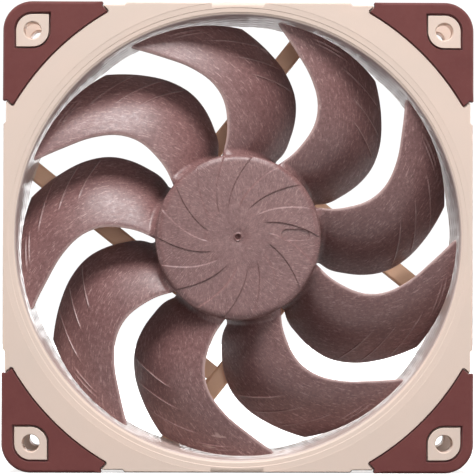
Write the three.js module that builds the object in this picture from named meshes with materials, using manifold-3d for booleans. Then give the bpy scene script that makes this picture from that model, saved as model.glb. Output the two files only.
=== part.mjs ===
// A 120 mm case fan: square frame with corner pads, nine-blade impeller, and the motor inside its hub.
// Millimetres. The origin is on the spin axis, half way through the fan's depth.
// +X is right and +Z is up as seen from the intake side, and air flows along +Y, from intake to exhaust.
// Angles are counter-clockwise as seen from the intake side, from +X.
import * as THREE from "three";
import { mergeVertices } from "three/addons/utils/BufferGeometryUtils.js";
import Module from "manifold-3d";

// ---- driving dimensions ----
const HALF_WIDTH = 60; // the pads' outer edges stand at this distance from the axis
const HALF_DEPTH = 12.5; // the pads' outer faces
const HOLE_PITCH = 105; // between screw hole centres
const HOLE_RADIUS = 2.15;
const GAP = 0.3; // between pieces that touch on the real fan

const FRAME_SIDE = 59.8; // the frame's own edge, just behind the pads' edge
const RELIEF_SIDE = 59.2; // the edge beside and under the pads
const RELIEF_START = 28.6; // where that step begins, from the middle of a side
const FRAME_FACE = 12.3; // the frame's own faces, just behind the pads' faces
const PAD_THICKNESS = 2.2;
const PAD_SEAT = HALF_DEPTH - PAD_THICKNESS - GAP; // depth that the pads' recesses go down to
const FLANGE_THICKNESS = 2.6; // the corner of a flange, under its pad
const LAND_HALF_LENGTH = 20; // flat land in the middle of each side
const LAND_INNER = 54; // reaches into the duct's wall
const DUCT_HALF_DEPTH = 9; // reaches into both flanges
const BEYOND = 1; // how far a cutter stands past the face it cuts

const PAD_ARC_RADIUS = 66.5; // a pad's inner edge runs round the spin axis
const PAD_EDGE_LENGTH = 25.9; // a pad's straight edge, from the corner
const PAD_TAIL_ANGLE = 28.8; // slant of its end, in degrees
const CORNER_CENTRE = HOLE_PITCH / 2;
const LEAF_SIZE = 9.0; // a pad's window for the screw boss

const BORE_RADIUS = 56.5;
const TUBE_RADIUS = 58.8; // outside of the duct between the flanges
const INLET_STEPS = [[58.5, 0.9], [57.4, 2.6]]; // radius and depth of each step at the intake

const BLADE_COUNT = 9;
const BLADE_TIP_RADIUS = 56.0;
const BLADE_ROOT_RADIUS = 20.4;
const BLADE_FRONT = -9.5; // depth of the leading edge
const BLADE_REAR = 7.3; // depth of the trailing edge
const BLADE_CAMBER = 0.48; // slope at the leading edge, as a share of the mean slope
const BLADE_EDGE_THICKNESS = 0.7;
const BLADE_BELLY_THICKNESS = 0.9; // added at mid chord
// Radius, then the angles of the leading edge and of the next blade's trailing edge.
const BLADE_EDGES = [
  [20, 22.5, 26.5],
  [25, 17.1, 21.9],
  [30, 15.5, 22.5],
  [35, 16.1, 24.4],
  [40, 19.5, 27.8],
  [45, 25.7, 33.4],
  [50, 33.0, 40.7],
  [56, 40.3, 50.0],
];

const HUB_RADIUS = 21.2;
const HUB_FRONT = -12.3;
const HUB_REAR = 7.5;
const HUB_WALL = 1.5;
const CAP_THICKNESS = 1.8;
// The cap's slight dome and its rounded edge: radius, then depth behind the cap's middle.
const CAP_DOME = [[0, 0], [12, 0.15], [19, 0.5], [20.6, 1.0], [HUB_RADIUS, 2.0]];

const STRUT_COUNT = 4;
const STRUT_TANGENT_RADIUS = 19.5; // the struts' centre lines touch this circle
const STRUT_FOOT_ANGLE = 51.5; // where the first strut's centre line touches it
const CABLE_STRUT = 3; // the strut that carries the cable channel
const STRUT_WIDTH = 4.8;
const STRUT_REACH = 55; // ends inside the duct's wall
const STRUT_FRONT = 9.2;
// The wing beside the cable strut, from the strut's inner edge: [across, along].
const WING_OUTLINE = [[0.3, -43], [0.3, -29.8], [-4.4, -29.8], [-4.4, -38.5]];
const WING_FRONT = 9.7;
const WING_SLOT = { left: -0.9, right: -0.2, bottom: -34.9, top: -34.0 };
const CHANNEL_WIDTH = 2.4; // the cable's channel in the back of its strut
const CHANNEL_FLOOR = 10.9;
const CHANNEL_START = -0.4; // along the strut
const CHANNEL_END = -64;
const WIRE_HOLE_LENGTH = 3.2;
const WIRE_HOLE_SHIFT = 0.3; // towards the axis
const WIRE_HOLE_FRONT = 8.2;

const BASE_FRONT = 8.6; // the motor base's rim
const BASE_FLOOR = 10.6;
const BASE_REAR = 12.2;
const BASE_RADIUS = 21.4;
const BASE_RIM_INNER = 19.8;
const SPIDER_CLEAR_RADIUS = 20.5; // the struts stop here, inside the base's rim
const LABEL_RADIUS = 17.2;
const LABEL_RECESS_RADIUS = 17.6;
const LABEL_SEAT = 11.9;
const LABEL_REAR = 12.4;

const SHAFT_RADIUS = 1.5;
const BEARING_CLEARANCE = 0.05;
const BEARING_OUTER = 3.5;
const SHELL_OUTER = 4.6;
const TUBE_WALL_OUTER = 6.1; // outside of the bearing tube that stands on the motor base
const BEARING_TUBE_FRONT = -8;

const POLE_COUNT = 4;
const CORE_FRONT = -4.5;
const CORE_REAR = 2.5;
const ARM_WIDTH = 3.6;
const MAGNET_INNER = 16.3;
const BOARD_FRONT = 8.2;
const BOARD_REAR = 9.2;
const BOARD_RADIUS = 19.2;

const DUCT_SIDES = 72; // sides of the duct's circles
const MOTOR_SIDES = 48; // of the hub and the motor's large rings
const SMALL_SIDES = 24; // of the shaft, the bearing and the screw holes

const wasm = await Module();
wasm.setup();

const radians = (degrees) => (degrees * Math.PI) / 180;

// ---- solids ----

// A closed geometry as a solid: shared corners merged and flat triangles dropped.
function solid(geometry) {
  const bare = new THREE.BufferGeometry();
  bare.setAttribute("position", geometry.getAttribute("position"));
  bare.setIndex(geometry.getIndex());
  const merged = mergeVertices(bare, 1e-4);
  const index = merged.getIndex().array;
  const kept = [];
  for (let i = 0; i < index.length; i += 3) {
    const [a, b, c] = [index[i], index[i + 1], index[i + 2]];
    if (a !== b && b !== c && a !== c) kept.push(a, b, c);
  }
  return new wasm.Manifold(
    new wasm.Mesh({
      numProp: 3,
      vertProperties: new Float32Array(merged.getAttribute("position").array),
      triVerts: new Uint32Array(kept),
    })
  );
}

function geometryOf(body) {
  const mesh = body.getMesh();
  const geometry = new THREE.BufferGeometry();
  geometry.setAttribute("position", new THREE.BufferAttribute(mesh.vertProperties, 3));
  geometry.setIndex(new THREE.BufferAttribute(mesh.triVerts, 1));
  geometry.computeVertexNormals();
  return geometry;
}

const joined = (bodies) => bodies.reduce((sum, body) => sum.add(body));

// Turns a geometry about the spin axis, counter-clockwise as seen from the intake.
const turned = (geometry, degrees) => geometry.rotateY(-radians(degrees));

// A profile of [radius, depth] points turned about the spin axis. Its solid side is on the left of its path.
function lathe(profile, sides = SMALL_SIDES) {
  const points = profile.map(([radius, depth]) => new THREE.Vector2(radius, depth));
  return new THREE.LatheGeometry(points, sides);
}

const disc = (radius, front, rear, sides) =>
  lathe([[0, front], [radius, front], [radius, rear], [0, rear]], sides);

const ring = (inner, outer, front, rear, sides) =>
  lathe([[inner, front], [outer, front], [outer, rear], [inner, rear], [inner, front]], sides);

// A block between two depths, given by its sides in X and Z.
function block(left, right, bottom, top, front, rear) {
  const geometry = new THREE.BoxGeometry(right - left, rear - front, top - bottom);
  return geometry.translate((left + right) / 2, (front + rear) / 2, (bottom + top) / 2);
}

// An outline in X and Z, given as a shape, carried from one depth to another.
function plate(outline, front, rear, curveSegments = 6) {
  const options = { depth: rear - front, bevelEnabled: false, curveSegments };
  return new THREE.ExtrudeGeometry(outline, options).rotateX(Math.PI / 2).translate(0, rear, 0);
}

// ---- outlines ----

// The frame's square outline: a step towards the pads, then a rounded corner, four times over.
function frameOutline() {
  const step = FRAME_SIDE - RELIEF_SIDE;
  const cornerRadius = RELIEF_SIDE - CORNER_CENTRE;
  const cornerSteps = 6;
  const quarter = [
    [FRAME_SIDE, -RELIEF_START],
    [FRAME_SIDE, RELIEF_START],
    [RELIEF_SIDE, RELIEF_START + step],
  ];
  for (let i = 0; i <= cornerSteps; i++) {
    const angle = (i / cornerSteps) * (Math.PI / 2);
    quarter.push([
      CORNER_CENTRE + cornerRadius * Math.cos(angle),
      CORNER_CENTRE + cornerRadius * Math.sin(angle),
    ]);
  }
  quarter.push([RELIEF_START + step, RELIEF_SIDE]);
  const points = [];
  for (let side = 0; side < 4; side++) {
    const centre = new THREE.Vector2(0, 0);
    for (const [x, z] of quarter) {
      points.push(new THREE.Vector2(x, z).rotateAround(centre, (side * Math.PI) / 2));
    }
  }
  return new THREE.Shape(points);
}

// The outline of the top right pad, grown by a margin on every side.
function padOutline(grown = 0) {
  const slant = radians(PAD_TAIL_ANGLE);
  const side = HALF_WIDTH + grown;
  const arcRadius = PAD_ARC_RADIUS - grown;
  const edgeEnd = HALF_WIDTH - PAD_EDGE_LENGTH - grown / Math.cos(slant) + grown * Math.tan(slant);
  // The slanted end runs inwards from (side, edgeEnd) until it meets the inner arc.
  const along = side * Math.cos(slant) + edgeEnd * Math.sin(slant);
  const reach = along - Math.sqrt(along ** 2 - (side ** 2 + edgeEnd ** 2 - arcRadius ** 2));
  const tailX = side - reach * Math.cos(slant);
  const tailZ = edgeEnd - reach * Math.sin(slant);
  const tailAngle = Math.atan2(tailZ, tailX);
  const outline = new THREE.Shape();
  outline.moveTo(side, edgeEnd);
  outline.lineTo(side, CORNER_CENTRE);
  outline.absarc(CORNER_CENTRE, CORNER_CENTRE, side - CORNER_CENTRE, 0, Math.PI / 2, false);
  outline.lineTo(edgeEnd, side);
  outline.lineTo(tailZ, tailX);
  outline.absarc(0, 0, arcRadius, Math.PI / 2 - tailAngle, tailAngle, true);
  outline.closePath();
  return outline;
}

// A square whose two corners on the fan's diagonal are rounded and whose other two are sharp.
function leafOutline(size, type = THREE.Shape) {
  const half = size / 2;
  const outline = new type();
  outline.moveTo(CORNER_CENTRE + half, CORNER_CENTRE - half);
  outline.lineTo(CORNER_CENTRE + half, CORNER_CENTRE);
  outline.absarc(CORNER_CENTRE, CORNER_CENTRE, half, 0, Math.PI / 2, false);
  outline.lineTo(CORNER_CENTRE - half, CORNER_CENTRE + half);
  outline.absarc(CORNER_CENTRE, CORNER_CENTRE, half, Math.PI, 1.5 * Math.PI, false);
  outline.closePath();
  return outline;
}

// ---- frame ----

// One square flange with its pad recesses, screw bosses and screw holes.
// side is -1 at the intake, 1 at the exhaust.
function flange(side) {
  const between = (a, b) => [Math.min(side * a, side * b), Math.max(side * a, side * b)];
  const foot = PAD_SEAT - FLANGE_THICKNESS;
  const [front, rear] = between(foot, FRAME_FACE);
  let body = solid(plate(frameOutline(), front, rear));
  for (let corner = 0; corner < 4; corner++) {
    const angle = corner * 90;
    const recess = plate(padOutline(GAP), ...between(PAD_SEAT, FRAME_FACE + BEYOND), 9);
    const boss = plate(leafOutline(LEAF_SIZE - 2 * GAP), ...between(PAD_SEAT - 0.5, FRAME_FACE));
    const hole = disc(HOLE_RADIUS, ...between(foot - BEYOND, FRAME_FACE + BEYOND), SMALL_SIDES);
    hole.translate(CORNER_CENTRE, 0, CORNER_CENTRE);
    body = body.subtract(solid(turned(recess, angle)));
    body = body.add(solid(turned(boss, angle)));
    body = body.subtract(solid(turned(hole, angle)));
  }
  return body;
}

// The round duct between the flanges, with a flat land in the middle of each side.
function duct() {
  const [front, rear] = [-DUCT_HALF_DEPTH, DUCT_HALF_DEPTH];
  const bodies = [solid(ring(BORE_RADIUS - BEYOND, TUBE_RADIUS, front, rear, DUCT_SIDES))];
  for (let side = 0; side < 4; side++) {
    const half = LAND_HALF_LENGTH;
    const land = block(LAND_INNER, FRAME_SIDE, -half, half, front, rear);
    bodies.push(solid(turned(land, side * 90)));
  }
  return joined(bodies);
}

// Places a geometry made for a strut whose foot is at angle 0 and which runs down from there.
const onStrut = (geometry, index) => turned(geometry, STRUT_FOOT_ANGLE + 90 * index);

function struts() {
  const inner = STRUT_TANGENT_RADIUS - STRUT_WIDTH / 2;
  const outer = STRUT_TANGENT_RADIUS + STRUT_WIDTH / 2;
  const bodies = [];
  for (let i = 0; i < STRUT_COUNT; i++) {
    const strut = block(inner, outer, -STRUT_REACH, 0, STRUT_FRONT, BASE_REAR);
    bodies.push(solid(onStrut(strut, i)));
  }
  // The cable strut widens into a small wing that holds the cable down.
  const corners = WING_OUTLINE.map(([across, along]) => new THREE.Vector2(inner + across, along));
  const wing = plate(new THREE.Shape(corners), WING_FRONT, BASE_REAR);
  const slot = block(
    inner + WING_SLOT.left,
    inner + WING_SLOT.right,
    WING_SLOT.bottom,
    WING_SLOT.top,
    WING_FRONT - BEYOND,
    BASE_REAR + BEYOND
  );
  bodies.push(solid(onStrut(wing, CABLE_STRUT)));
  return joined(bodies).subtract(solid(onStrut(slot, CABLE_STRUT)));
}

// The motor base: a shallow cup with the bearing tube in its middle and a recess for the label behind.
function motorBase() {
  const boreOfTube = SHELL_OUTER + GAP;
  return solid(
    lathe(
      [
        [boreOfTube, BEARING_TUBE_FRONT],
        [TUBE_WALL_OUTER, BEARING_TUBE_FRONT],
        [TUBE_WALL_OUTER, BASE_FLOOR],
        [BASE_RIM_INNER, BASE_FLOOR],
        [BASE_RIM_INNER, BASE_FRONT],
        [BASE_RADIUS, BASE_FRONT],
        [BASE_RADIUS, BASE_REAR],
        [LABEL_RECESS_RADIUS, BASE_REAR],
        [LABEL_RECESS_RADIUS, LABEL_SEAT],
        [boreOfTube, LABEL_SEAT],
        [boreOfTube, BEARING_TUBE_FRONT],
      ],
      MOTOR_SIDES
    )
  );
}

// The channel along the back of the cable strut, and the hole where the wires come out of the motor.
function cableChannel() {
  const inner = STRUT_TANGENT_RADIUS - CHANNEL_WIDTH / 2;
  const outer = STRUT_TANGENT_RADIUS + CHANNEL_WIDTH / 2;
  const past = BASE_REAR + BEYOND;
  const channel = block(inner, outer, CHANNEL_END, CHANNEL_START, CHANNEL_FLOOR, past);
  const hole = block(
    inner - WIRE_HOLE_SHIFT,
    outer - WIRE_HOLE_SHIFT,
    CHANNEL_START - WIRE_HOLE_LENGTH,
    CHANNEL_START,
    WIRE_HOLE_FRONT,
    past
  );
  return solid(onStrut(channel, CABLE_STRUT)).add(solid(onStrut(hole, CABLE_STRUT)));
}

function frame() {
  let shell = flange(-1).add(flange(1)).add(duct());
  const past = FRAME_FACE + BEYOND;
  shell = shell.subtract(solid(disc(BORE_RADIUS, -past, past, DUCT_SIDES)));
  for (const [radius, depth] of INLET_STEPS) {
    shell = shell.subtract(solid(disc(radius, -past, -FRAME_FACE + depth, DUCT_SIDES)));
  }
  const middle = disc(SPIDER_CLEAR_RADIUS, STRUT_FRONT - BEYOND, past, MOTOR_SIDES);
  const spider = struts().subtract(solid(middle)).add(motorBase());
  return geometryOf(shell.add(spider).subtract(cableChannel()));
}

// ---- pads ----

// One soft corner pad with its window for the screw boss. side is -1 at the intake, 1 at the exhaust.
function pad(corner, side) {
  const outline = padOutline();
  outline.holes.push(leafOutline(LEAF_SIZE, THREE.Path));
  const outer = side * HALF_DEPTH;
  const inner = side * (HALF_DEPTH - PAD_THICKNESS);
  return turned(plate(outline, Math.min(outer, inner), Math.max(outer, inner), 7), corner * 90);
}

// ---- impeller ----

// Reads a column of BLADE_EDGES at any radius, by a smooth curve through its stations.
function edgeAngle(radius, column) {
  const radii = BLADE_EDGES.map((row) => row[0]);
  const next = radii.findIndex((r) => r >= radius);
  const i = Math.min(Math.max(next, 1), radii.length - 1);
  const value = (k) => BLADE_EDGES[Math.min(Math.max(k, 0), radii.length - 1)][column];
  const place = (k) => radii[Math.min(Math.max(k, 0), radii.length - 1)];
  const slope = (k) => (value(k + 1) - value(k - 1)) / (place(k + 1) - place(k - 1));
  const span = radii[i] - radii[i - 1];
  const t = (radius - radii[i - 1]) / span;
  const [start, end] = [value(i - 1), value(i)];
  const [startSlope, endSlope] = [slope(i - 1) * span, slope(i) * span];
  return (
    start * (2 * t ** 3 - 3 * t ** 2 + 1) +
    startSlope * (t ** 3 - 2 * t ** 2 + t) +
    end * (3 * t ** 2 - 2 * t ** 3) +
    endSlope * (t ** 3 - t ** 2)
  );
}

// A point of a blade: share 0 at the leading edge to 1 at the trailing edge, side -1 in front and 1 behind.
function bladePoint(radius, share, side) {
  const lead = radians(edgeAngle(radius, 1) + 360 / BLADE_COUNT);
  const trail = radians(edgeAngle(radius, 2));
  const depth = BLADE_REAR - BLADE_FRONT;
  const arcSlope = (trail - lead) * radius;
  const depthSlope = depth * (BLADE_CAMBER + 3 * (1 - BLADE_CAMBER) * share ** 2);
  const length = Math.hypot(arcSlope, depthSlope);
  const belly = BLADE_BELLY_THICKNESS * Math.sin(Math.PI * share);
  const offset = (side * (BLADE_EDGE_THICKNESS + belly)) / 2;
  const angle = lead + (trail - lead) * share + ((depthSlope / length) * offset) / radius;
  const camber = BLADE_CAMBER * share + (1 - BLADE_CAMBER) * share ** 3;
  const y = BLADE_FRONT + depth * camber - (arcSlope / length) * offset;
  return new THREE.Vector3(radius * Math.cos(angle), y, radius * Math.sin(angle));
}

// One blade: a stack of closed sections from root to tip.
function blade(stations = 8, steps = 6) {
  const corners = [];
  for (let station = 0; station <= stations; station++) {
    const share = station / stations;
    const radius = BLADE_ROOT_RADIUS + (BLADE_TIP_RADIUS - BLADE_ROOT_RADIUS) * share;
    for (let i = 0; i <= steps; i++) corners.push(bladePoint(radius, i / steps, -1));
    for (let i = steps; i >= 0; i--) corners.push(bladePoint(radius, i / steps, 1));
  }
  const around = 2 * (steps + 1);
  const triangles = [];
  for (let station = 0; station < stations; station++) {
    for (let i = 0; i < around; i++) {
      const a = station * around + i;
      const b = station * around + ((i + 1) % around);
      triangles.push(a, b, a + around, b, b + around, a + around);
    }
  }
  const tip = stations * around;
  for (let i = 0; i < steps; i++) {
    const [a, b, c, d] = [i, i + 1, around - 2 - i, around - 1 - i];
    triangles.push(a, c, b, a, d, c);
    triangles.push(tip + a, tip + b, tip + c, tip + a, tip + c, tip + d);
  }
  const geometry = new THREE.BufferGeometry().setFromPoints(corners);
  geometry.setIndex(triangles);
  return geometry;
}

function impeller() {
  const inner = HUB_RADIUS - HUB_WALL;
  const capRear = HUB_FRONT + CAP_THICKNESS;
  const cup = lathe(
    [
      ...CAP_DOME.map(([radius, depth]) => [radius, HUB_FRONT + depth]),
      [HUB_RADIUS, HUB_REAR],
      [inner, HUB_REAR],
      [inner, capRear],
      [0, capRear],
    ],
    MOTOR_SIDES
  );
  const bodies = [solid(cup)];
  for (let i = 0; i < BLADE_COUNT; i++) {
    bodies.push(solid(turned(blade(), (i * 360) / BLADE_COUNT)));
  }
  return geometryOf(joined(bodies));
}

// ---- rotor, inside the hub ----

const YOKE_FRONT = HUB_FRONT + CAP_THICKNESS + GAP;
const YOKE_OUTER = HUB_RADIUS - HUB_WALL - GAP;
const YOKE_REAR = 7;
const YOKE_WALL = 1;
const YOKE_PLATE = 0.8;
const BOSS_RADIUS = 4;
const BOSS_COLLAR_RADIUS = 5.5;
const BOSS_COLLAR_FRONT = YOKE_FRONT + YOKE_PLATE + GAP;
const BOSS_REAR = -8.3;

function yoke() {
  const [hole, plateRear] = [BOSS_RADIUS + GAP, YOKE_FRONT + YOKE_PLATE];
  return lathe(
    [
      [hole, YOKE_FRONT],
      [YOKE_OUTER, YOKE_FRONT],
      [YOKE_OUTER, YOKE_REAR],
      [YOKE_OUTER - YOKE_WALL, YOKE_REAR],
      [YOKE_OUTER - YOKE_WALL, plateRear],
      [hole, plateRear],
      [hole, YOKE_FRONT],
    ],
    MOTOR_SIDES
  );
}

function shaftBoss() {
  const bore = SHAFT_RADIUS + GAP;
  return lathe([
    [bore, YOKE_FRONT],
    [BOSS_RADIUS, YOKE_FRONT],
    [BOSS_RADIUS, BOSS_COLLAR_FRONT],
    [BOSS_COLLAR_RADIUS, BOSS_COLLAR_FRONT],
    [BOSS_COLLAR_RADIUS, BOSS_REAR],
    [bore, BOSS_REAR],
    [bore, YOKE_FRONT],
  ]);
}

const MAGNET_OUTER = YOKE_OUTER - YOKE_WALL - GAP;
const magnetRing = () => ring(MAGNET_INNER, MAGNET_OUTER, -7, 6.5, MOTOR_SIDES);

const GROOVE_RADIUS = SHAFT_RADIUS - 0.3;
const GROOVE_FRONT = 7.8;
const GROOVE_REAR = 8.9;
const SHAFT_FRONT = YOKE_FRONT + 0.1;
const SHAFT_REAR = 9.5;

function shaft() {
  return lathe([
    [0, SHAFT_FRONT],
    [SHAFT_RADIUS, SHAFT_FRONT],
    [SHAFT_RADIUS, GROOVE_FRONT],
    [GROOVE_RADIUS, GROOVE_FRONT],
    [GROOVE_RADIUS, GROOVE_REAR],
    [SHAFT_RADIUS, GROOVE_REAR],
    [SHAFT_RADIUS, SHAFT_REAR - 0.3],
    [GROOVE_RADIUS, SHAFT_REAR],
    [0, SHAFT_REAR],
  ]);
}

// An open ring that snaps into the shaft's groove and keeps the rotor from pulling out.
function retainingClip() {
  const halfOpening = radians(22);
  const outline = new THREE.Shape();
  outline.absarc(0, 0, 2.8, halfOpening, 2 * Math.PI - halfOpening, false);
  outline.absarc(0, 0, GROOVE_RADIUS + 0.1, 2 * Math.PI - halfOpening, halfOpening, true);
  outline.closePath();
  return plate(outline, 8.1, 8.6, 16);
}

// ---- bearing ----

// A brass cup, closed at the exhaust end, that holds the bearing and its oil.
function bearingShell() {
  const inner = BEARING_OUTER + GAP;
  const [front, floor, rear] = [-7.6, 10.5, 11.4];
  return lathe([
    [0, floor],
    [inner, floor],
    [inner, front],
    [SHELL_OUTER, front],
    [SHELL_OUTER, rear],
    [0, rear],
  ]);
}

const sleeveBearing = () => ring(SHAFT_RADIUS + BEARING_CLEARANCE, BEARING_OUTER, -6.8, 7.5);
const oilSeal = () => ring(SHAFT_RADIUS + 0.1, BEARING_OUTER, -7.5, -7.1);
const thrustWasher = () => disc(BEARING_OUTER - 0.1, 9.6, 10.2);

// ---- stator ----

const CORE_INNER = TUBE_WALL_OUTER + GAP;
const CORE_RING_OUTER = 8.6;
const AIR_GAP = 0.4; // between the core's shoes and the magnet
const SHOE_INNER = 14.2;
const SHOE_HALF_ANGLE = 36;

// The laminated core: a ring, four arms, and a curved shoe on each arm.
function statorCore() {
  const bodies = [solid(ring(CORE_INNER, CORE_RING_OUTER, CORE_FRONT, CORE_REAR))];
  const shoe = new THREE.Shape();
  const halfAngle = radians(SHOE_HALF_ANGLE);
  shoe.absarc(0, 0, MAGNET_INNER - AIR_GAP, -halfAngle, halfAngle, false);
  shoe.absarc(0, 0, SHOE_INNER, halfAngle, -halfAngle, true);
  shoe.closePath();
  for (let pole = 0; pole < POLE_COUNT; pole++) {
    const half = ARM_WIDTH / 2;
    const [start, end] = [CORE_RING_OUTER - 1, SHOE_INNER + 0.6];
    const arm = block(start, end, -half, half, CORE_FRONT, CORE_REAR);
    bodies.push(solid(turned(arm, pole * 90)));
    bodies.push(solid(turned(plate(shoe, CORE_FRONT, CORE_REAR, 6), pole * 90)));
  }
  return geometryOf(joined(bodies));
}

// A plastic insulator on one end of the core, with a fence at each arm's end. side is -1 or 1 along the axis.
function insulator(side) {
  const near = side < 0 ? CORE_FRONT - GAP : CORE_REAR + GAP;
  const far = near + side * 0.8;
  const fence = near + side * 2.6;
  const between = (a, b) => [Math.min(a, b), Math.max(a, b)];
  const bodies = [solid(ring(CORE_INNER, 9.0, ...between(near, far)))];
  for (let pole = 0; pole < POLE_COUNT; pole++) {
    const half = ARM_WIDTH / 2;
    bodies.push(solid(turned(block(8, 13.4, -half, half, ...between(near, far)), pole * 90)));
    bodies.push(solid(turned(block(13.1, 13.8, -4, 4, ...between(near, fence)), pole * 90)));
  }
  return geometryOf(joined(bodies));
}

// One winding round an arm and its insulators.
function coil(pole) {
  const inside = ARM_WIDTH / 2 + GAP;
  const build = 1.7;
  const [low, high] = [CORE_FRONT - 1.1 - GAP, CORE_REAR + 1.1 + GAP];
  const outline = new THREE.Shape();
  const loop = (path, half, bottom, top, corner) => {
    path.absarc(half - corner, bottom + corner, corner, -Math.PI / 2, 0, false);
    path.absarc(half - corner, top - corner, corner, 0, Math.PI / 2, false);
    path.absarc(corner - half, top - corner, corner, Math.PI / 2, Math.PI, false);
    path.absarc(corner - half, bottom + corner, corner, Math.PI, 1.5 * Math.PI, false);
    path.closePath();
  };
  loop(outline, inside + build, low - build, high + build, 1.2);
  const window = new THREE.Path();
  loop(window, inside, low, high, 0.2);
  outline.holes.push(window);
  const options = { depth: 3.5, bevelEnabled: false, curveSegments: 3 };
  const winding = new THREE.ExtrudeGeometry(outline, options).rotateY(Math.PI / 2);
  return turned(winding.translate(9.3, 0, 0), pole * 90);
}

// ---- electronics ----

const PIN_CIRCLE = 13.45;
const PIN_ANGLES = [90, 180, 270];

function circuitBoard() {
  let board = solid(ring(TUBE_WALL_OUTER + 0.4, BOARD_RADIUS, BOARD_FRONT, BOARD_REAR, MOTOR_SIDES));
  for (const angle of PIN_ANGLES) {
    const hole = disc(0.65, BOARD_FRONT - 1, BOARD_REAR + 1, 8).translate(PIN_CIRCLE, 0, 0);
    board = board.subtract(solid(turned(hole, angle)));
  }
  return geometryOf(board);
}

// A square pin that carries a winding's wire from the insulator to the board.
function terminalPin(angle) {
  const half = 0.3;
  return turned(
    block(PIN_CIRCLE - half, PIN_CIRCLE + half, -half, half, 5.7, 9.9),
    angle
  );
}

// A chip or other part on the board's motor side: its size along the radius, across it, and its height.
function boardPart(angle, radius, along, across, height) {
  const rear = BOARD_FRONT - GAP;
  const part = block(
    radius - along / 2,
    radius + along / 2,
    -across / 2,
    across / 2,
    rear - height,
    rear
  );
  return turned(part, angle);
}

// The rubber gland where the cable leaves the motor base and turns into the strut's channel.
function cableGland() {
  const centre = STRUT_TANGENT_RADIUS;
  const plug = solid(block(centre - 1.2, centre + 0.6, -3.3, -0.7, 9.5, 12.1));
  const collar = solid(block(centre - 0.9, centre + 0.6, -8, -0.7, 11.2, 12.1));
  return onStrut(geometryOf(plug.add(collar)), CABLE_STRUT);
}

const rearLabel = () => disc(LABEL_RADIUS, LABEL_SEAT + GAP, LABEL_REAR, MOTOR_SIDES);

// ---- materials ----

const matte = (color, roughness, metalness = 0) =>
  new THREE.MeshStandardMaterial({ color, roughness, metalness });

const FINISH = {
  frame: () => matte(0xe6d0c2, 0.55),
  pad: () => matte(0x6d3b39, 0.75),
  impeller: () => matte(0x7d5f5e, 0.5),
  steel: () => matte(0x9a9a9c, 0.35, 0.9),
  laminate: () => matte(0x6f7276, 0.5, 0.8),
  magnet: () => matte(0x3a3836, 0.8, 0.1),
  brass: () => matte(0xb08d4a, 0.35, 0.9),
  bronze: () => matte(0x8a6a45, 0.6, 0.7),
  polymer: () => matte(0xe8e4da, 0.5),
  insulator: () => matte(0xd9d6cc, 0.55),
  copper: () => matte(0xa85a2c, 0.35, 0.8),
  board: () => matte(0x2e5a3a, 0.5),
  chip: () => matte(0x242426, 0.5),
  ceramic: () => matte(0xb79a6c, 0.6),
  label: () => matte(0xd8cfc4, 0.6),
};

// ---- assembly ----

function piece(name, geometry, finish) {
  const mesh = new THREE.Mesh(geometry, FINISH[finish]());
  mesh.name = name;
  return mesh;
}

const CORNER_NAMES = ["top_right", "top_left", "bottom_left", "bottom_right"];

const housing = new THREE.Group();
housing.add(piece("frame", frame(), "frame"));
CORNER_NAMES.forEach((corner, i) => {
  housing.add(piece(`pad_front_${corner}`, pad(i, -1), "pad"));
  housing.add(piece(`pad_rear_${corner}`, pad(i, 1), "pad"));
});
housing.add(piece("rear_label", rearLabel(), "label"));
housing.add(piece("cable_gland", cableGland(), "pad"));

const bearing = new THREE.Group();
bearing.add(piece("bearing_shell", bearingShell(), "brass"));
bearing.add(piece("sleeve_bearing", sleeveBearing(), "bronze"));
bearing.add(piece("oil_seal", oilSeal(), "polymer"));
bearing.add(piece("thrust_washer", thrustWasher(), "polymer"));
housing.add(bearing);

const stator = new THREE.Group();
stator.add(piece("stator_core", statorCore(), "laminate"));
stator.add(piece("insulator_front", insulator(-1), "insulator"));
stator.add(piece("insulator_rear", insulator(1), "insulator"));
for (let pole = 0; pole < POLE_COUNT; pole++) {
  stator.add(piece(`coil_${pole + 1}`, coil(pole), "copper"));
}
housing.add(stator);

const electronics = new THREE.Group();
electronics.add(piece("circuit_board", circuitBoard(), "board"));
PIN_ANGLES.forEach((angle, i) => {
  electronics.add(piece(`terminal_pin_${i + 1}`, terminalPin(angle), "steel"));
});
electronics.add(piece("driver_chip", boardPart(45, 12.4, 3.9, 4.9, 1.4), "chip"));
electronics.add(piece("hall_sensor", boardPart(135, 14.7, 1.5, 4.0, 2.6), "chip"));
electronics.add(piece("capacitor_1", boardPart(225, 13.4, 1.6, 3.2, 1.6), "ceramic"));
electronics.add(piece("capacitor_2", boardPart(225, 10.2, 1.6, 3.2, 1.6), "ceramic"));
electronics.add(piece("resistor_1", boardPart(315, 13.4, 0.9, 1.8, 0.6), "chip"));
electronics.add(piece("resistor_2", boardPart(315, 11.4, 0.9, 1.8, 0.6), "chip"));
housing.add(electronics);

const rotor = new THREE.Group();
rotor.add(piece("impeller", impeller(), "impeller"));
rotor.add(piece("rotor_yoke", yoke(), "steel"));
rotor.add(piece("magnet_ring", magnetRing(), "magnet"));
rotor.add(piece("shaft_boss", shaftBoss(), "brass"));
rotor.add(piece("shaft", shaft(), "steel"));
rotor.add(piece("retaining_clip", retainingClip(), "steel"));

const fan = new THREE.Group();
fan.add(housing, rotor);
export default fan;
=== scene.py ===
"""The looks of a 120 mm case fan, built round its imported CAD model.

Lengths are in millimetres until a mesh is made. The fan's axis lies along Y, with the intake at -Y.
"""

import math

import bmesh
import bpy
import numpy as np
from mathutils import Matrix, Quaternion, Vector

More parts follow.
